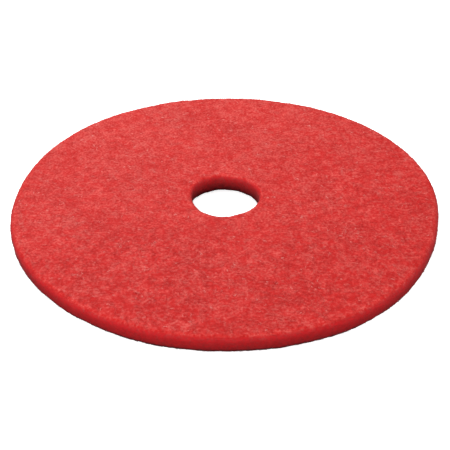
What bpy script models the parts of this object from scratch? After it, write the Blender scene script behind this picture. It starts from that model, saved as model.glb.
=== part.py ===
"""Round non-woven floor pad for the pad driver of a rotary floor machine.

The pad is one piece: a disc die-cut from a lofty web of resin-bonded polyester
fibre, with a die-cut hole in the middle for the driver's centre lock. Both
faces are flat and work alike, and the soft fibre rounds every cut corner.

Metres, +Z up. The origin is on the pad's axis, in the face that lies on the floor.
"""

import math

import bmesh
import bpy

INCH = 0.0254

# Driving dimensions
PAD_DIAMETER = 20 * INCH
CENTRE_HOLE_DIAMETER = 3.25 * INCH
THICKNESS = 0.022
RIM_ROUND = 0.0068
HOLE_ROUND = 0.0050

# Fineness of the turned shape
STEPS_ROUND_THE_AXIS = 120
STEPS_ROUND_A_CORNER = 5

# Fibre web, dyed red right through
FIBRE_RED = (0.62, 0.058, 0.050, 1.0)
FIBRE_ROUGHNESS = 0.92

AXIS = (0.0, 0.0, 1.0)
ORIGIN = (0.0, 0.0, 0.0)
SAME_POINT = 1e-6


def clear_scene():
    """Remove every object that the startup scene holds."""
    for obj in list(bpy.data.objects):
        bpy.data.objects.remove(obj)


def fibre_material():
    """A dull red for the bonded fibre web."""
    material = bpy.data.materials.new("red_fibre")
    material.use_nodes = True
    shader = material.node_tree.nodes["Principled BSDF"]
    shader.inputs["Base Color"].default_value = FIBRE_RED
    shader.inputs["Roughness"].default_value = FIBRE_ROUGHNESS
    shader.inputs["Metallic"].default_value = 0.0
    material.diffuse_color = FIBRE_RED
    return material


def die_cut_ring(mesh, inner_radius, outer_radius, height):
    """Spin the web's square-cut cross-section round the axis into a closed ring."""
    section = [
        mesh.verts.new((inner_radius, 0.0, 0.0)),
        mesh.verts.new((outer_radius, 0.0, 0.0)),
        mesh.verts.new((outer_radius, 0.0, height)),
        mesh.verts.new((inner_radius, 0.0, height)),
    ]
    edges = [mesh.edges.new((a, b)) for a, b in zip(section, section[1:] + section[:1])]
    bmesh.ops.spin(
        mesh,
        geom=section + edges,
        cent=ORIGIN,
        axis=AXIS,
        angle=2 * math.pi,
        steps=STEPS_ROUND_THE_AXIS,
    )
    bmesh.ops.remove_doubles(mesh, verts=mesh.verts[:], dist=SAME_POINT)


def corner_edges(mesh, radius):
    """The edges of the two circular corners at this radius, top and bottom."""

    def on_circle(vert):
        return abs(math.hypot(vert.co.x, vert.co.y) - radius) < SAME_POINT * 10

    return [
        edge
        for edge in mesh.edges
        if all(on_circle(v) for v in edge.verts)
        and abs(edge.verts[0].co.z - edge.verts[1].co.z) < SAME_POINT
    ]


def round_corners(mesh, radius, fillet):
    """Round the ring's two corners at this radius with arcs of radius fillet."""
    bmesh.ops.bevel(
        mesh,
        geom=corner_edges(mesh, radius),
        offset=fillet,
        offset_type="OFFSET",
        segments=STEPS_ROUND_A_CORNER,
        profile=0.5,
        affect="EDGES",
    )


def make_floor_pad():
    """The whole pad, one closed ring with rounded corners."""
    outer_radius = PAD_DIAMETER / 2
    hole_radius = CENTRE_HOLE_DIAMETER / 2
    mesh = bmesh.new()
    die_cut_ring(mesh, hole_radius, outer_radius, THICKNESS)
    round_corners(mesh, outer_radius, RIM_ROUND)
    round_corners(mesh, hole_radius, HOLE_ROUND)
    bmesh.ops.recalc_face_normals(mesh, faces=mesh.faces[:])

    data = bpy.data.meshes.new("floor_pad")
    mesh.to_mesh(data)
    mesh.free()
    data.materials.append(fibre_material())
    data.shade_smooth()
    data.set_sharp_from_angle(angle=math.radians(30))

    pad = bpy.data.objects.new("floor_pad", data)
    bpy.context.scene.collection.objects.link(pad)
    return pad


def main():
    clear_scene()
    make_floor_pad()


main()
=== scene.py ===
"""Red non-woven floor pad: a die-cut ring of lofty, resin-bonded polyester fibre.

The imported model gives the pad's place and size. The pad is made here as a soft,
slightly uneven web with loose fibres bonded all over it, on a plain pale floor in
soft studio light. Metres, +Z up, with the pad's axis on Z and the floor at z = 0.
"""

import logging
import math
from dataclasses import dataclass, field, replace
from enum import Enum

import bpy
import numpy as np
from mathutils import Matrix, Vector


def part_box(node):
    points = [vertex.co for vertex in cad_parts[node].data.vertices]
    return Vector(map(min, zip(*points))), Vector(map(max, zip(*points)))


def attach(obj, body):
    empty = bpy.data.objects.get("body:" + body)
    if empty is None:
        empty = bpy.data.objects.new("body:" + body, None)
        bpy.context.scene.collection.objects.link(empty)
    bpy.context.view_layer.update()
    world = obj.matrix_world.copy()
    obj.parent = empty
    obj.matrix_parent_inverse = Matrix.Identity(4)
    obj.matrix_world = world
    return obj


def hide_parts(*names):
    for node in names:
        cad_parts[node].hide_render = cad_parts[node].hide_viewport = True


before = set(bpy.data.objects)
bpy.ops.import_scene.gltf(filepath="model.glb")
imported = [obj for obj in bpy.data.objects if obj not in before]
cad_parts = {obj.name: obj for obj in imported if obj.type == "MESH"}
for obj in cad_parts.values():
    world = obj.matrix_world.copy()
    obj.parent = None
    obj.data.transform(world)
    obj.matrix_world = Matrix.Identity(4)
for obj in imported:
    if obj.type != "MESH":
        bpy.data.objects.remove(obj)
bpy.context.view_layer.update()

LOG = logging.getLogger("floor_pad")

MM = 0.001
FULL_TURN = 2 * math.pi
LOWEST_WEB = 0.05 * MM
LOWEST_FIBRE = 0.02 * MM
DARKEST = 0.95
NOISE_LOW = 0.3
NOISE_HIGH = 0.7
BODY = "root"
CAD_NODE = "floor_pad"

Array = np.ndarray


class Stretch(Enum):
    """The four stretches of the pad's surface, in order along its cross-section."""

    HOLE = "hole"
    FLOOR_FACE = "floor_face"
    RIM = "rim"
    DRIVER_FACE = "driver_face"


@dataclass(frozen=True)
class Section:
    """Cross-section of the pad: an upright rectangle beside the axis, corners rounded.

    The outline is walked down the hole wall, out along the floor face, up the rim and
    back in along the driver face. Each corner is centre + round * (cos a, sin a).
    """

    hole_radius: float
    rim_radius: float
    thickness: float
    hole_round: float
    rim_round: float
    steps_a_corner: int = 24

    def corners(self) -> tuple[Array, Array, Array]:
        """Points and outward directions of the four rounded corners.

        Returns:
            Radii, heights and direction angles, each 4 corners by steps.
        """
        inner, outer = self.hole_radius + self.hole_round, self.rim_radius - self.rim_round
        low_in, low_out = self.hole_round, self.rim_round
        top_in, top_out = self.thickness - self.hole_round, self.thickness - self.rim_round
        centre_r = np.array([inner, outer, outer, inner])[:, None]
        centre_z = np.array([low_in, low_out, top_out, top_in])[:, None]
        rounds = np.array([self.hole_round, self.rim_round, self.rim_round, self.hole_round])[:, None]
        quarter = np.linspace(0, math.pi / 2, self.steps_a_corner)
        angles = np.array([1.0, 1.5, 2.0, 2.5])[:, None] * math.pi + quarter
        return centre_r + rounds * np.cos(angles), centre_z + rounds * np.sin(angles), angles

    def outline(self) -> tuple[Array, Array, Array]:
        """The closed outline, with how far along it each point is.

        Returns:
            Distance along the outline, points (r, z), and outward directions (r, z).
        """
        radii, heights, angles = (part.ravel() for part in self.corners())
        points = np.stack([radii, heights], 1)
        outward = np.stack([np.cos(angles), np.sin(angles)], 1)
        points = np.concatenate([points, points[:1]])
        outward = np.concatenate([outward, outward[:1]])
        gaps = np.hypot(*np.diff(points, axis=0).T)
        return np.concatenate([[0.0], np.cumsum(gaps)]), points, outward

    def span(self, stretch: Stretch) -> tuple[float, float]:
        """Where a stretch of the outline starts and ends.

        Args:
            stretch: which of the four stretches.

        Returns:
            Start and end distance along the outline. The hole's end is past one turn.
        """
        along, n = self.outline()[0], self.steps_a_corner
        spans = {
            Stretch.FLOOR_FACE: (along[n - 1], along[n]),
            Stretch.RIM: (along[n], along[3 * n - 1]),
            Stretch.DRIVER_FACE: (along[3 * n - 1], along[3 * n]),
            Stretch.HOLE: (along[3 * n], along[-1] + along[n - 1]),
        }
        return spans[stretch]

    def at(self, along: Array) -> tuple[Array, Array, Array, Array]:
        """Place and outward direction at distances along the outline.

        Args:
            along: distances, of any shape, taken past a whole turn if need be.

        Returns:
            r, z, and the outward direction's r and z parts, each shaped as along.
        """
        known, points, outward = self.outline()
        turn = np.mod(along, known[-1])
        r, z = (np.interp(turn, known, points[:, i]) for i in (0, 1))
        out_r, out_z = (np.interp(turn, known, outward[:, i]) for i in (0, 1))
        return r, z, out_r, out_z


@dataclass(frozen=True)
class Waves:
    """Smooth unevenness in space: a sum of plane waves in random directions.

    value(p) = sum of sin(k . p + phase), scaled so that its usual size is `size`, with
    wavelengths spread evenly by ratio between the shortest and the longest.
    """

    seed: int
    size: float
    shortest: float
    longest: float
    count: int = 48

    def at(self, points: Array) -> Array:
        """The unevenness at points.

        Args:
            points: any shape, last axis x, y, z.

        Returns:
            One value for each point.
        """
        rng = np.random.default_rng(self.seed)
        ways = rng.normal(size=(self.count, 3))
        ways /= np.linalg.norm(ways, axis=1)[:, None]
        ratio = self.longest / self.shortest
        lengths = self.shortest * ratio ** rng.random(self.count)
        phases = rng.random(self.count) * FULL_TURN
        waves = np.sin(points @ (ways * FULL_TURN / lengths[:, None]).T + phases)
        return self.size * waves.sum(-1) / math.sqrt(self.count / 2)


@dataclass(frozen=True)
class Lobes:
    """A gentle swell that repeats round the axis: size * cos(count * (angle - turned))."""

    count: int
    size: float
    turned_degrees: float

    def at(self, angle: Array) -> Array:
        """The swell at angles round the axis."""
        return self.size * np.cos(self.count * (angle - math.radians(self.turned_degrees)))


@dataclass(frozen=True)
class PadShape:
    """The pad's surface as a function of distance along the section and angle round the axis.

    point = section point turned to the angle, moved outward by lumps and height, its
    radius stretched by the out-of-round lobes, and lifted by the warp, so that the pad
    rests on the warp's low spots. The soft hole is pulled out of round too, by lobes that
    fade away from it as exp(-distance).
    """

    section: Section
    out_of_round: tuple[Lobes, ...] = (
        Lobes(2, 1.07 * MM, -43.6),
        Lobes(3, 0.23 * MM, 21.0),
        Lobes(4, 0.52 * MM, 37.7),
        Lobes(5, 0.27 * MM, 11.3),
        Lobes(6, 0.40 * MM, 12.0),
        Lobes(7, 0.35 * MM, -5.0),
    )
    warp: tuple[Lobes, ...] = (Lobes(2, 1.03 * MM, 40.7), Lobes(3, 1.09 * MM, 12.5))
    rise: float = 2.0 * MM
    hole_top: tuple[Lobes, ...] = (
        Lobes(1, 1.9 * MM, 51.0),
        Lobes(2, 1.2 * MM, -76.0),
        Lobes(3, 1.3 * MM, 11.0),
    )
    hole_foot: tuple[Lobes, ...] = (Lobes(2, 0.75 * MM, -40.0),)
    hole_reach: float = 12 * MM
    # Painted shade on the cut edges: how much the colour darkens at the corners, down the rim, at its
    # foot and down the hole.
    brow_dark: float = 0.08
    rim_dark: float = 0.93
    foot_dark: float = 4.5
    hole_dark: float = 1.0
    lumps: tuple[Waves, ...] = (
        Waves(11, 0.09 * MM, 9 * MM, 24 * MM),
        Waves(12, 0.16 * MM, 40 * MM, 110 * MM),
    )

    def place(self, along: Array, angle: Array, height: Array) -> tuple[Array, Array]:
        """Points over the surface, and which way is outward there.

        Args:
            along: distance along the section.
            angle: angle round the axis, the same shape as along.
            height: distance outward from the surface, the same shape as along.

        Returns:
            Points and outward directions, shaped as along with x, y, z last.
        """
        r, z, out_r, out_z = self.section.at(along)
        ring = np.stack([np.cos(angle), np.sin(angle), np.zeros_like(angle)], -1)
        up = np.array([0.0, 0.0, 1.0])
        outward = out_r[..., None] * ring + out_z[..., None] * up
        smooth = r[..., None] * ring + z[..., None] * up
        lumps = sum(wave.at(smooth) for wave in self.lumps)
        raised = smooth + outward * (lumps + height)[..., None]
        reach = (r / self.section.rim_radius) ** 2
        stretch = sum(lobes.at(angle) for lobes in self.out_of_round) * reach
        lift = self.rise + sum(lobes.at(angle) for lobes in self.warp) * reach
        upper = z / self.section.thickness
        top = sum(lobes.at(angle) for lobes in self.hole_top) * upper
        foot = sum(lobes.at(angle) for lobes in self.hole_foot) * (1 - upper)
        pull = (top + foot) * np.exp((self.section.hole_radius - r) / self.hole_reach)
        points = raised + (stretch + pull)[..., None] * ring + lift[..., None] * up
        points[..., 2] = np.maximum(points[..., 2], LOWEST_WEB)
        return points, outward

    def edge(self, along: Array) -> Array:
        """How far a spot is on a cut edge, 3 * |sin(turn from the face)| - 1.6 held in 0 to 1."""
        return np.clip(np.abs(self.section.at(along)[2]) * 3.0 - 1.6, 0.0, 1.0)

    def shadow(self, along: Array) -> Array:
        """How dark a cut edge is: a little at its corners, most at its foot, out of the light.

        The darkness is painted shade, for the light a cut edge loses. Both corners gain
        brow_dark where the surface has turned 17 to 33 degrees from the face. On the rim it
        grows by rim_dark for each whole depth past 0.21, and by foot_dark more past 0.72. In
        the hole it is hole_dark * depth ** 1.3. Both are scaled by the edge's value, and the
        sum is held at DARKEST. Depth is 0 at the driver face and 1 at the floor face.

        Args:
            along: distance along the section.

        Returns:
            One value from 0 to 1 for each distance.
        """
        _, z, out_r, _ = self.section.at(along)
        depth = 1.0 - z / self.section.thickness
        rim = self.rim_dark * np.maximum(depth - 0.21, 0.0)
        rim = rim + self.foot_dark * np.maximum(depth - 0.72, 0.0)
        hole = self.hole_dark * np.clip(depth, 0.0, 1.0) ** 1.3
        brow = self.brow_dark * np.clip(np.abs(out_r) * 4 - 1.2, 0.0, 1.0)
        return np.minimum(brow + self.edge(along) * np.where(out_r < 0, hole, rim), DARKEST)


def new_mesh(name: str, points: Array, faces: Array, ends: Array | None = None) -> bpy.types.Object:
    """Make a mesh object from whole arrays of points and faces.

    Args:
        name: the piece's name.
        points: n by 3.
        faces: four point numbers a face.
        ends: three point numbers a face, for closing caps.

    Returns:
        The object, in the scene, at the origin.
    """
    mesh = bpy.data.meshes.new(name)
    caps = np.zeros((0, 3), int) if ends is None else ends
    corners = np.concatenate([faces.ravel(), caps.ravel()])
    starts = np.concatenate(
        [np.arange(len(faces)) * 4, len(faces) * 4 + np.arange(len(caps)) * 3]
    )
    mesh.vertices.add(len(points))
    mesh.vertices.foreach_set("co", points.astype(np.float32).ravel())
    mesh.loops.add(len(corners))
    mesh.loops.foreach_set("vertex_index", corners.astype(np.int32))
    mesh.polygons.add(len(starts))
    mesh.polygons.foreach_set("loop_start", starts.astype(np.int32))
    mesh.update(calc_edges=True)
    mesh.validate()
    mesh.shade_smooth()
    piece = bpy.data.objects.new(name, mesh)
    bpy.context.scene.collection.objects.link(piece)
    return piece


def lean_normals(piece: bpy.types.Object, normals: Array) -> None:
    """Light a piece by given point normals, each as long as it likes, in place of its faces' own."""
    unit = normals / np.linalg.norm(normals, axis=-1, keepdims=True)
    piece.data.normals_split_custom_set_from_vertices(unit.reshape(-1, 3).tolist())


def set_attribute(piece: bpy.types.Object, name: str, values: Array) -> None:
    """Give each of a piece's points a number that its material reads by name."""
    attribute = piece.data.attributes.new(name, "FLOAT", "POINT")
    attribute.data.foreach_set("value", values.astype(np.float32).ravel())


class NodeTree:
    """Short ways to build a material's nodes."""

    def __init__(self, name: str) -> None:
        """Start a material with its surface shader.

        Args:
            name: the material's name.
        """
        self.material = bpy.data.materials.new(name)
        self.material.use_nodes = True
        self.nodes = self.material.node_tree.nodes
        self.links = self.material.node_tree.links
        self.shader = self.nodes["Principled BSDF"]

    def add(self, kind: str, **settings: object) -> bpy.types.Node:
        """Add a node and set its options by name.

        Args:
            kind: which sort of node.
            settings: the node's options and their values.

        Returns:
            The node.
        """
        node = self.nodes.new(kind)
        for key, value in settings.items():
            setattr(node, key, value)
        return node

    def join(self, source: bpy.types.NodeSocket, target: bpy.types.NodeSocket) -> None:
        """Feed one socket from another."""
        self.links.new(source, target)

    def places(
        self, stretch: tuple[float, float, float] = (1.0, 1.0, 1.0), turn: float = 0.0
    ) -> bpy.types.NodeSocket:
        """Object coordinates, stretched and turned about Z.

        Args:
            stretch: scale along x, y, z.
            turn: angle about Z in radians.

        Returns:
            The vector output.
        """
        coordinates = self.add("ShaderNodeTexCoord")
        mapping = self.add("ShaderNodeMapping")
        mapping.inputs["Scale"].default_value = stretch
        mapping.inputs["Rotation"].default_value = (0.0, 0.0, turn)
        self.join(coordinates.outputs["Object"], mapping.inputs["Vector"])
        return mapping.outputs["Vector"]

    def noise(
        self, places: bpy.types.NodeSocket, scale: float, detail: float = 2.0, distortion: float = 0.0
    ) -> bpy.types.NodeSocket:
        """A noise pattern, `scale` blotches a metre.

        Args:
            places: where it is read.
            scale: blotches a metre.
            detail: how many finer layers it has.
            distortion: how far it is swirled.

        Returns:
            The pattern, about NOISE_LOW to NOISE_HIGH.
        """
        node = self.add("ShaderNodeTexNoise")
        node.inputs["Scale"].default_value = scale
        node.inputs["Detail"].default_value = detail
        node.inputs["Distortion"].default_value = distortion
        self.join(places, node.inputs["Vector"])
        return node.outputs["Fac"]

    def maths(self, operation: str, first: object, second: object = 0.0) -> bpy.types.NodeSocket:
        """One sum on sockets or plain numbers.

        Args:
            operation: the name of the sum.
            first: a socket or a number.
            second: a socket or a number.

        Returns:
            The result.
        """
        node = self.add("ShaderNodeMath", operation=operation)
        for slot, value in enumerate((first, second)):
            if isinstance(value, bpy.types.NodeSocket):
                self.join(value, node.inputs[slot])
            else:
                node.inputs[slot].default_value = value
        return node.outputs[0]

    def spread(
        self,
        value: bpy.types.NodeSocket,
        low: float,
        high: float,
        to_low: float = 0.0,
        to_high: float = 1.0,
    ) -> bpy.types.NodeSocket:
        """Carry a range of values to another, held at its ends.

        Args:
            value: what is read.
            low: the value that becomes to_low.
            high: the value that becomes to_high.
            to_low: result at low.
            to_high: result at high.

        Returns:
            The result.
        """
        node = self.add("ShaderNodeMapRange")
        self.join(value, node.inputs["Value"])
        ends = {"From Min": low, "From Max": high, "To Min": to_low, "To Max": to_high}
        for key, number in ends.items():
            node.inputs[key].default_value = number
        return node.outputs["Result"]

    def ramp(
        self, value: bpy.types.NodeSocket, stops: tuple[tuple[float, tuple[float, float, float]], ...]
    ) -> bpy.types.NodeSocket:
        """Colours along a value.

        Args:
            value: from 0 to 1.
            stops: places and colours in order.

        Returns:
            The colour.
        """
        node = self.add("ShaderNodeValToRGB")
        elements = node.color_ramp.elements
        while len(elements) < len(stops):
            elements.new(0.5)
        for element, (place, colour) in zip(elements, stops):
            element.position = place
            element.color = (*colour, 1.0)
        self.join(value, node.inputs["Fac"])
        return node.outputs["Color"]

    def blend(
        self, colour: bpy.types.NodeSocket, other: tuple[float, float, float], share: bpy.types.NodeSocket
    ) -> bpy.types.NodeSocket:
        """Mix a fixed colour into another: colour * (1 - share) + other * share.

        Args:
            colour: the colour that is kept where share is 0.
            other: the colour that is reached where share is 1.
            share: from 0 to 1.

        Returns:
            The mixed colour.
        """
        node = self.add("ShaderNodeMix", data_type="RGBA")
        ports = {port.identifier: port for port in node.inputs}
        ports["B_Color"].default_value = (*other, 1.0)
        self.join(share, ports["Factor_Float"])
        self.join(colour, ports["A_Color"])
        return next(port for port in node.outputs if port.identifier == "Result_Color")

    def bump(self, height: bpy.types.NodeSocket, distance: float, strength: float) -> None:
        """Fine relief from a height pattern, on the shader's normal.

        Args:
            height: the pattern, from 0 to 1.
            distance: how deep the relief is, in metres.
            strength: how strongly it shows, from 0 to 1.
        """
        node = self.add("ShaderNodeBump")
        node.inputs["Distance"].default_value = distance
        node.inputs["Strength"].default_value = strength
        self.join(height, node.inputs["Height"])
        self.join(node.outputs["Normal"], self.shader.inputs["Normal"])

    def plain(self, **values: float) -> None:
        """Set the shader's own sockets, named with _ for a space."""
        for key, value in values.items():
            self.shader.inputs[key.replace("_", " ")].default_value = value


@dataclass(frozen=True)
class RedFibre:
    """Red dyed polyester under a thin binder, deep where fibres lie close, pinker where loose."""

    # Part of the deep end stands for painted shade where fibres lie low or close; the rest is the fibre's
    # own colour.
    deep: tuple[float, float, float] = (0.630, 0.0160, 0.0150)
    body: tuple[float, float, float] = (0.715, 0.0445, 0.0395)
    pale: tuple[float, float, float] = (0.815, 0.114, 0.098)
    # The cut edges' colour: partly their own purer red, partly painted shade, lower in red than the body.
    cut: tuple[float, float, float] = (0.60, 0.016, 0.022)
    # Painted shade: the near-black that the cut edges' colour is blended towards by their shadow
    # attribute.
    foot: tuple[float, float, float] = (0.050, 0.004, 0.006)
    blotches_a_metre: float = 110.0
    tufts_a_metre: float = 340.0
    clouds_a_metre: float = 24.0
    mottle: tuple[float, float] = (-0.11, 0.13)
    # How far a cut edge's shade is lowered and how much cut colour it takes: partly the edge's own deeper
    # red, partly painted shade.
    edge_deeper: float = 0.15
    cut_share: float = 0.7
    # Painted sheen: the shade rises towards +Y and falls towards -Y across the pad, by uneven either way
    # over uneven_reach.
    uneven: float = 0.10
    uneven_reach: float = 0.25
    roughness: float = 0.55

    def dress(self, tree: NodeTree, shade: bpy.types.NodeSocket, shine: float, sheen: float) -> None:
        """Colour from a shade, deeper on a cut edge and darker towards the edge's foot.

        Tufts, blotches and clouds of three sizes change the shade, and a painted sheen
        makes the pad a little paler towards +Y and deeper towards -Y, by `uneven` either
        way from its middle. The piece's "edge" and "shadow" attributes say how far a spot is
        on a cut edge, and how much painted shade it gets there. The tufts mottle that
        painted shade too.

        Args:
            tree: the material being made.
            shade: 0 for the deepest red, 1 for the palest.
            shine: how strongly the surface reflects.
            sheen: how much the fibre ends catch light aslant.
        """
        places = tree.places()
        blotches = tree.noise(places, self.blotches_a_metre, detail=2.0)
        tufts = tree.noise(places, self.tufts_a_metre, detail=2.0)
        clouds = tree.noise(places, self.clouds_a_metre, detail=1.0)
        for pattern, reach in ((blotches, 0.28), (tufts, 0.42), (clouds, 0.09)):
            shade = tree.maths("ADD", shade, tree.spread(pattern, NOISE_LOW, NOISE_HIGH, -reach, reach))
        # Painted sheen: paler towards +Y, deeper towards -Y.
        across = tree.add("ShaderNodeSeparateXYZ")
        tree.join(places, across.inputs["Vector"])
        far = self.uneven_reach
        paler = tree.spread(across.outputs["Y"], -far, far, -self.uneven, self.uneven)
        shade = tree.maths("ADD", shade, paler)
        # Cut edges: the cut colour, partly the edge's own deeper red and partly painted shade, then
        # painted shade from the shadow attribute towards the near-black foot colour.
        edge = tree.add("ShaderNodeAttribute", attribute_name="edge")
        shadow = tree.add("ShaderNodeAttribute", attribute_name="shadow")
        patchy = tree.spread(tufts, 0.33, 0.67, *self.mottle)
        mottle = tree.maths("MULTIPLY", patchy, edge.outputs["Fac"])
        dark = tree.maths("ADD", shadow.outputs["Fac"], mottle)
        deeper = tree.maths("MULTIPLY", edge.outputs["Fac"], self.edge_deeper)
        shade = tree.maths("SUBTRACT", shade, deeper)
        colour = tree.ramp(shade, ((0.0, self.deep), (0.5, self.body), (1.0, self.pale)))
        cut_share = tree.maths("MULTIPLY", edge.outputs["Fac"], self.cut_share)
        colour = tree.blend(colour, self.cut, cut_share)
        colour = tree.blend(colour, self.foot, dark)
        tree.join(colour, tree.shader.inputs["Base Color"])
        rougher, smoother = self.roughness + 0.1, self.roughness - 0.1
        rough = tree.spread(tufts, NOISE_LOW, NOISE_HIGH, rougher, smoother)
        tree.join(rough, tree.shader.inputs["Roughness"])
        tree.plain(Specular_IOR_Level=shine, Sheen_Weight=sheen, Sheen_Roughness=0.5)

    def web(self) -> bpy.types.Material:
        """The body of the web: matted fibre seen between the loose ones.

        Thin wandering lines come from abs(noise - middle) at two scales, over tufts.

        Returns:
            The material.
        """
        tree = NodeTree("red_web")
        lines = []
        for scale, turn in ((160.0, 0.3), (260.0, 1.2)):
            swirl = tree.noise(tree.places(turn=turn), scale, detail=1.0, distortion=0.6)
            off_middle = tree.maths("ABSOLUTE", tree.maths("SUBTRACT", swirl, 0.5))
            lines.append(tree.spread(off_middle, 0.0, 0.07, 1.0, 0.0))
        fibre = tree.maths("MAXIMUM", lines[0], lines[1])
        # The web's shade runs from 0.25 between its drawn fibres to 0.62 on them, below the loose
        # fibres': partly its own matted red, partly painted shade for the gaps it shows in.
        self.dress(tree, tree.spread(fibre, 0.0, 1.0, 0.25, 0.62), shine=0.08, sheen=0.04)
        tree.bump(fibre, 0.3 * MM, 0.4)
        return tree.material

    def strand(self, name: str, shine: float, sheen: float) -> bpy.types.Material:
        """A loose fibre: its own shade from the piece's "shade" attribute.

        Args:
            name: the material's name.
            shine: how strongly the fibres reflect.
            sheen: how much the fibres catch light aslant.

        Returns:
            The material.
        """
        tree = NodeTree(name)
        own = tree.add("ShaderNodeAttribute", attribute_name="shade")
        self.dress(tree, own.outputs["Fac"], shine, sheen)
        return tree.material


@dataclass
class Web:
    """The pad's body: one closed ring of matted fibre, a little inside the loose fibres.

    A row's inset goes from face_inset on the faces to edge_inset on the cut edges with
    |sin(turn from the face)|.
    """

    shape: PadShape
    finish: bpy.types.Material
    steps_round: int = 540
    face_inset: float = 0.4 * MM
    edge_inset: float = 0.2 * MM
    face_step: float = 3.0 * MM
    edge_step: float = 1.3 * MM
    name: str = "pad_web"

    def rows(self) -> Array:
        """Distances along the section for the grid's rows, closer round the edges.

        Returns:
            The distances, in order.
        """
        parts = []
        for stretch in Stretch:
            start, end = self.shape.section.span(stretch)
            flat = stretch in (Stretch.FLOOR_FACE, Stretch.DRIVER_FACE)
            steps = math.ceil((end - start) / (self.face_step if flat else self.edge_step))
            parts.append(np.linspace(start, end, steps, endpoint=False))
        return np.concatenate(parts)

    def build(self) -> bpy.types.Object:
        """Make the ring as a grid closed both ways: rows along the section, columns round the axis.

        Returns:
            The piece.
        """
        rows = self.rows()
        angles = np.arange(self.steps_round) * FULL_TURN / self.steps_round
        along, angle = np.meshgrid(rows, angles, indexing="ij")
        sideways = np.abs(self.shape.section.at(along)[2])
        inset = self.face_inset + (self.edge_inset - self.face_inset) * sideways
        points, _ = self.shape.place(along, angle, -inset)
        number = np.arange(along.size).reshape(along.shape)
        next_row, next_column = np.roll(number, -1, 0), np.roll(number, -1, 1)
        corner = np.roll(next_row, -1, 1)
        faces = np.stack([number, next_column, corner, next_row], -1).reshape(-1, 4)
        piece = new_mesh(self.name, points.reshape(-1, 3), faces)
        # edge and shadow carry the cut edges' deeper colour and painted shade to the material.
        set_attribute(piece, "edge", self.shape.edge(along))
        set_attribute(piece, "shadow", self.shape.shadow(along))
        piece.data.materials.append(self.finish)
        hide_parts(CAD_NODE)
        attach(piece, BODY)
        LOG.info("%s: %d faces", piece.name, len(faces))
        return piece


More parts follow.
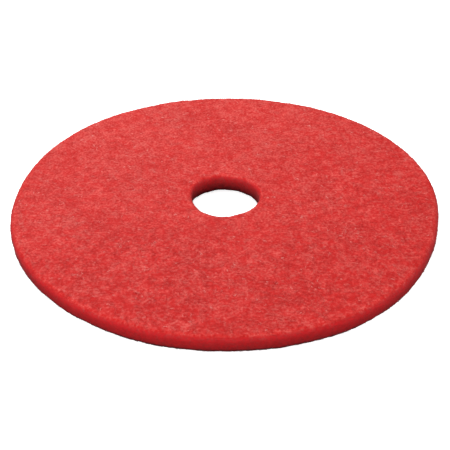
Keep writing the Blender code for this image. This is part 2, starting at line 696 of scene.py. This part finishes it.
@dataclass
class Strands:
    """Loose fibres bonded over one stretch of the pad, each a thin crimped three-sided tube.

    A fibre's heading turns evenly along it, plus crimp * sin(2 pi * distance / wave). With
    t from -1 to 1 along it, its height falls by dip * |t| ** 3 from its own level to inside
    the web at its ends, and its radius by the share end_taper * t ** 4.
    """

    shape: PadShape
    finish: bpy.types.Material
    stretch: Stretch
    count: int
    pieces: int
    seed: int
    longest: float = 20 * MM
    shortest: float = 9 * MM
    thinnest: float = 0.26 * MM
    thickest: float = 0.46 * MM
    low: float = -0.40 * MM
    high: float = 0.13 * MM
    dip: float = 0.32 * MM
    shade_low: float = 0.28
    shade_high: float = 0.78
    curl: float = 1.5
    crimp: float = 1.05
    crimp_wave: float = 5.5 * MM
    knots: int = 9
    roundness: float = 0.35
    end_taper: float = 0.55
    shade_spread: float = 0.08
    kind: str = "fibres"

    def starts(self, rng: np.random.Generator) -> tuple[Array, Array]:
        """Middles of the fibres, spread evenly by area, thinned where the web is thin.

        Args:
            rng: the seeded source of chance.

        Returns:
            Distances along the section and angles round the axis.
        """
        start, end = self.shape.section.span(self.stretch)
        steps = np.linspace(start, end, 400)
        radii = self.shape.section.at(steps)[0]
        share = np.concatenate([[0.0], np.cumsum((radii[1:] + radii[:-1]) / 2)])
        tries = self.count * 2
        along = np.interp(rng.random(tries), share / share[-1], steps)
        angle = rng.random(tries) * FULL_TURN
        r, z, _, _ = self.shape.section.at(along)
        spots = np.stack([r * np.cos(angle), r * np.sin(angle), z], -1)
        tufted = Waves(31, 0.20, 6 * MM, 16 * MM).at(spots)
        thick = tufted + Waves(32, 0.10, 50 * MM, 120 * MM).at(spots)
        order = np.argsort(rng.random(tries) - thick, kind="stable")[: self.count]
        return along[order], angle[order]

    def lie(self, rng: np.random.Generator) -> tuple[Array, Array, Array, Array]:
        """Centre lines over the surface, and each fibre's level.

        Args:
            rng: the seeded source of chance.

        Returns:
            Distance along the section, angle, and height, each count by knots, and the
            level of each fibre from 0, deep, to 1, on top.
        """
        along, angle = self.starts(rng)
        t = np.linspace(-1.0, 1.0, self.knots)
        length = rng.uniform(self.shortest, self.longest, self.count)[:, None]
        turn = rng.normal(0.0, self.curl, self.count)[:, None]
        crimp = rng.uniform(0.5, 1.3, self.count)[:, None] * self.crimp
        phase = rng.random(self.count)[:, None] * FULL_TURN
        first = rng.random(self.count)[:, None] * FULL_TURN
        waves = FULL_TURN * t * length / 2 / self.crimp_wave + phase
        heading = first + turn * t / 2 + crimp * np.sin(waves)
        step = length / (self.knots - 1)
        across = np.cumsum(np.cos(heading) * step, 1)
        along = along[:, None] + across - across.mean(1)[:, None]
        radius = self.shape.section.at(along)[0]
        round_axis = np.cumsum(np.sin(heading) * step / radius, 1)
        angle = angle[:, None] + round_axis - round_axis.mean(1)[:, None]
        level = rng.random(self.count)
        top = self.low + (self.high - self.low) * level
        height = top[:, None] - self.dip * np.abs(t) ** 3
        return along, angle, height, level

    def tubes(self, rng: np.random.Generator) -> tuple[Array, Array, Array, Array]:
        """Points of every tube, apex outward: centre + radius * (cos, sin) in the plane across it.

        Each point's normal is the web's outward direction plus roundness times its own way
        out from the tube, because light that scatters among the fibres evens their shading.

        Args:
            rng: the seeded source of chance.

        Returns:
            Points and normals, count by knots by 3 corners by xyz, each fibre's shade, and
            each knot's distance along the section.
        """
        along, angle, height, level = self.lie(rng)
        centres, outward = self.shape.place(along, angle, height)
        forward = np.gradient(centres, axis=1)
        forward /= np.linalg.norm(forward, axis=-1, keepdims=True)
        side = np.cross(forward, outward)
        side /= np.linalg.norm(side, axis=-1, keepdims=True)
        over = np.cross(side, forward)
        corner = math.pi / 2 + np.arange(3) * FULL_TURN / 3
        t = np.linspace(-1.0, 1.0, self.knots)
        taper = 1.0 - self.end_taper * np.abs(t) ** 4
        width = rng.uniform(self.thinnest, self.thickest, self.count)
        radius = (width[:, None] / 2 * taper)[..., None, None]
        ring = side[:, :, None] * np.cos(corner)[:, None] + over[:, :, None] * np.sin(corner)[:, None]
        # Deeper-lying fibres get a lower shade: partly their own colour, partly painted shade for the
        # light they lose under the fibres above.
        shade = self.shade_low + (self.shade_high - self.shade_low) * level
        shade = shade + rng.normal(0, self.shade_spread, self.count)
        points = centres[:, :, None] + radius * ring
        points[..., 2] = np.maximum(points[..., 2], LOWEST_FIBRE)
        normals = outward[:, :, None] + self.roundness * ring
        return points, normals, shade, along

    def build(self) -> list[bpy.types.Object]:
        """Make the fibres of the stretch, shared out over a few pieces by angle round the axis.

        Returns:
            The pieces.
        """
        rng = np.random.default_rng(self.seed)
        points, normals, shade, along = self.tubes(rng)
        middle = points[:, self.knots // 2, 0]
        turn = np.mod(np.arctan2(middle[:, 1], middle[:, 0]), FULL_TURN) / FULL_TURN
        sector = np.minimum((turn * self.pieces).astype(int), self.pieces - 1)
        made = []
        for index in range(self.pieces):
            mine = sector == index
            made.append(self.piece(index, points[mine], normals[mine], shade[mine], along[mine]))
        return made

    def piece(
        self, index: int, points: Array, normals: Array, shade: Array, along: Array
    ) -> bpy.types.Object:
        """One piece of fibres: quads between neighbouring corners along each tube, and end caps.

        Args:
            index: which piece of the stretch.
            points: fibres by knots by 3 corners by xyz.
            normals: the same shape as points.
            shade: one shade a fibre.
            along: fibres by knots, distance along the section.

        Returns:
            The piece.
        """
        fibres = len(points)
        number = np.arange(fibres * self.knots * 3).reshape(fibres, self.knots, 3)
        beside = np.roll(number, -1, 2)
        near, far = number[:, :-1], number[:, 1:]
        near_beside, far_beside = beside[:, :-1], beside[:, 1:]
        sides = np.stack([near, far, far_beside, near_beside], -1).reshape(-1, 4)
        ends = np.concatenate([number[:, 0], number[:, -1, ::-1]])
        name = f"{self.stretch.value}_{self.kind}_{index + 1}"
        piece = new_mesh(name, points.reshape(-1, 3), sides, ends)
        lean_normals(piece, normals)
        set_attribute(piece, "shade", np.repeat(shade, self.knots * 3))
        # edge and shadow carry the cut edges' deeper colour and painted shade to the material.
        set_attribute(piece, "edge", np.repeat(self.shape.edge(along).ravel(), 3))
        set_attribute(piece, "shadow", np.repeat(self.shape.shadow(along).ravel(), 3))
        piece.data.materials.append(self.finish)
        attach(piece, BODY)
        LOG.info("%s: %d fibres, %d triangles", name, fibres, len(sides) * 2 + len(ends))
        return piece


@dataclass
class FloorPad:
    """The whole pad: its web and the fibres over each stretch of it."""

    hole_radius: float = 41.275 * MM
    hole_round: float = 5.0 * MM
    rim_round: float = 6.8 * MM
    finish: RedFibre = field(default_factory=RedFibre)

    def shape(self) -> PadShape:
        """The pad's surface, its outer sizes taken from the CAD node's box.

        Returns:
            The surface.
        """
        low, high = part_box(CAD_NODE)
        rim_radius = (high.x - low.x) / 2
        section = Section(self.hole_radius, rim_radius, high.z - low.z, self.hole_round, self.rim_round)
        return PadShape(section)

    def build(self) -> None:
        """Make the web, then the fibres bonded over it.

        Both faces get loose fibres and a few bright ones, whose paler colour is a painted
        highlight. The rim and the hole's wall get close-packed ones, and short fuzz that
        stands out of the cut.
        """
        shape = self.shape()
        Web(shape, self.finish.web()).build()
        loose = self.finish.strand("red_strand", shine=0.15, sheen=0.05)
        cut = self.finish.strand("red_cut_strand", shine=0.12, sheen=0.12)
        # Glint fibres: their paler colour is a painted highlight, beside their real shine.
        bright = replace(self.finish, body=(0.82, 0.17, 0.15), pale=(0.90, 0.36, 0.32))
        glint = bright.strand("red_glint", shine=0.5, sheen=0.1)
        faces = {"count": 14500, "pieces": 4}
        short = {"pieces": 1, "longest": 6 * MM, "shortest": 3 * MM, "knots": 5}
        stray = {"low": 0.10 * MM, "high": 0.30 * MM, **short}
        # Fibres of the rim, the hole and the fuzz take lower shades than the faces' fibres: partly the
        # cut's own deeper red, partly painted shade.
        edge = {"low": -0.35 * MM, "high": -0.1 * MM, "shade_low": 0.20, "shade_high": 0.55, "pieces": 1}
        fuzz = {"low": 0.15 * MM, "high": 0.6 * MM, "dip": 1.1 * MM, **short}
        thin = {"thinnest": 0.12 * MM, "thickest": 0.22 * MM, "shade_low": 0.1, "shade_high": 0.5}
        Strands(shape, loose, Stretch.DRIVER_FACE, seed=101, **faces).build()
        Strands(shape, loose, Stretch.FLOOR_FACE, seed=102, **faces).build()
        Strands(shape, glint, Stretch.DRIVER_FACE, count=650, seed=105, kind="glints", **stray).build()
        Strands(shape, glint, Stretch.FLOOR_FACE, count=650, seed=106, kind="glints", **stray).build()
        Strands(shape, cut, Stretch.RIM, count=2600, seed=103, **edge).build()
        Strands(shape, cut, Stretch.HOLE, count=440, seed=104, **edge).build()
        Strands(shape, cut, Stretch.RIM, count=2600, seed=107, kind="fuzz", **fuzz, **thin).build()
        Strands(shape, cut, Stretch.HOLE, count=250, seed=108, kind="fuzz", **fuzz, **thin).build()


@dataclass(frozen=True)
class SoftBox:
    """A square area light, aimed at the pad."""

    name: str
    place: tuple[float, float, float]
    width: float
    power: float
    colour: tuple[float, float, float] = (1.0, 1.0, 1.0)

    def build(self) -> None:
        """Hang the light at its place, facing the middle of the floor."""
        light = bpy.data.lights.new(self.name, "AREA")
        light.shape = "SQUARE"
        light.size = self.width
        light.energy = self.power
        light.color = self.colour
        lamp = bpy.data.objects.new(self.name, light)
        lamp.location = self.place
        lamp.visible_camera = False
        lamp.rotation_mode = "QUATERNION"
        lamp.rotation_quaternion = (-Vector(self.place)).to_track_quat("-Z", "Y")
        bpy.context.scene.collection.objects.link(lamp)


@dataclass
class Studio:
    """Plain pale floor that curves up to a wall all round, soft light from above, and the camera."""

    floor_radius: float = 3.0
    sweep_radius: float = 1.0
    wall_height: float = 3.5
    lights: tuple[SoftBox, ...] = (
        SoftBox("key_softbox", (-0.55, 0.95, 1.75), 1.1, 29.4, (0.99, 1.07, 1.06)),
        SoftBox("overhead_softbox", (-0.1, 0.1, 2.6), 2.4, 14.0),
        SoftBox("front_fill", (0.0, -3.3, 0.8), 1.4, 63.0, (1.0, 0.96, 0.96)),
        SoftBox("left_fill", (-2.90, -1.60, 1.07), 1.6, 49.0),
        SoftBox("right_fill", (3.30, -0.30, 1.07), 1.6, 48.0),
    )
    lens: float = 75.4
    eye_distance: float = 1.1182
    elevation_degrees: float = 35.5
    roll_degrees: float = 0.96
    target: tuple[float, float, float] = (0.6 * MM, -30.8 * MM, 2.0 * MM)

    def floor(self) -> None:
        """The floor, sweep and wall as one turned surface: flat, quarter circle, then upright."""
        bend = np.linspace(0, math.pi / 2, 12)
        swept = self.floor_radius + self.sweep_radius * np.sin(bend)
        r = np.concatenate([[0.02, 0.6, 1.5], swept, [self.floor_radius + self.sweep_radius]])
        z = np.concatenate([[0.0] * 3, self.sweep_radius * (1 - np.cos(bend)), [self.wall_height]])
        angles = np.arange(96) * FULL_TURN / 96
        radius, angle = np.meshgrid(r, angles, indexing="ij")
        height = np.repeat(z[:, None], len(angles), 1)
        points = np.stack([radius * np.cos(angle), radius * np.sin(angle), height], -1).reshape(-1, 3)
        points = np.concatenate([points, [[0.0, 0.0, 0.0]]])
        number = np.arange(radius.size).reshape(radius.shape)
        beside = np.roll(number, -1, 1)
        faces = np.stack([number[:-1], number[1:], beside[1:], beside[:-1]], -1).reshape(-1, 4)
        middle = np.stack([number[0], beside[0], np.full(len(angles), len(points) - 1)], -1)
        floor = new_mesh("studio_floor", points, faces, middle)
        tree = NodeTree("pale_floor")
        grain = tree.noise(tree.places(), 3.0, detail=2.0)
        pale = tree.ramp(grain, ((0.3, (0.93, 0.93, 0.93)), (0.7, (0.96, 0.96, 0.96))))
        tree.join(pale, tree.shader.inputs["Base Color"])
        tree.plain(Roughness=0.9, Specular_IOR_Level=0.1, Emission_Strength=0.85)
        tree.shader.inputs["Emission Color"].default_value = (1.0, 1.0, 1.0, 1.0)
        floor.data.materials.append(tree.material)
        floor.visible_diffuse = False
        floor.visible_glossy = False

    def camera(self) -> None:
        """Set the camera back from its target at the given elevation, looking along +Y."""
        rise = math.radians(self.elevation_degrees)
        back = Vector((0.0, -math.cos(rise), math.sin(rise)))
        eye = Vector(self.target) + back * self.eye_distance
        lens = bpy.data.cameras.new("camera")
        lens.lens = self.lens
        lens.sensor_width = 36.0
        lens.clip_start = 0.05
        lens.clip_end = 50.0
        camera = bpy.data.objects.new("camera", lens)
        look = (-back).to_track_quat("-Z", "Y").to_matrix().to_4x4()
        roll = Matrix.Rotation(-math.radians(self.roll_degrees), 4, "Z")
        camera.matrix_world = Matrix.Translation(eye) @ look @ roll
        bpy.context.scene.collection.objects.link(camera)
        bpy.context.scene.camera = camera

    def build(self) -> None:
        """Make the floor, the lights, the dim surroundings and the camera."""
        self.floor()
        for light in self.lights:
            light.build()
        world = bpy.data.worlds.new("dim_room")
        world.use_nodes = True
        world.node_tree.nodes["Background"].inputs["Color"].default_value = (1.0, 1.0, 1.0, 1.0)
        world.node_tree.nodes["Background"].inputs["Strength"].default_value = 0.02
        bpy.context.scene.world = world
        bpy.context.scene.view_settings.view_transform = "Standard"
        self.camera()


def main() -> None:
    """Build the pad, then the studio round it."""
    logging.basicConfig(level=logging.INFO, format="%(message)s")
    FloorPad().build()
    Studio().build()


if __name__ == "__main__":
    main()
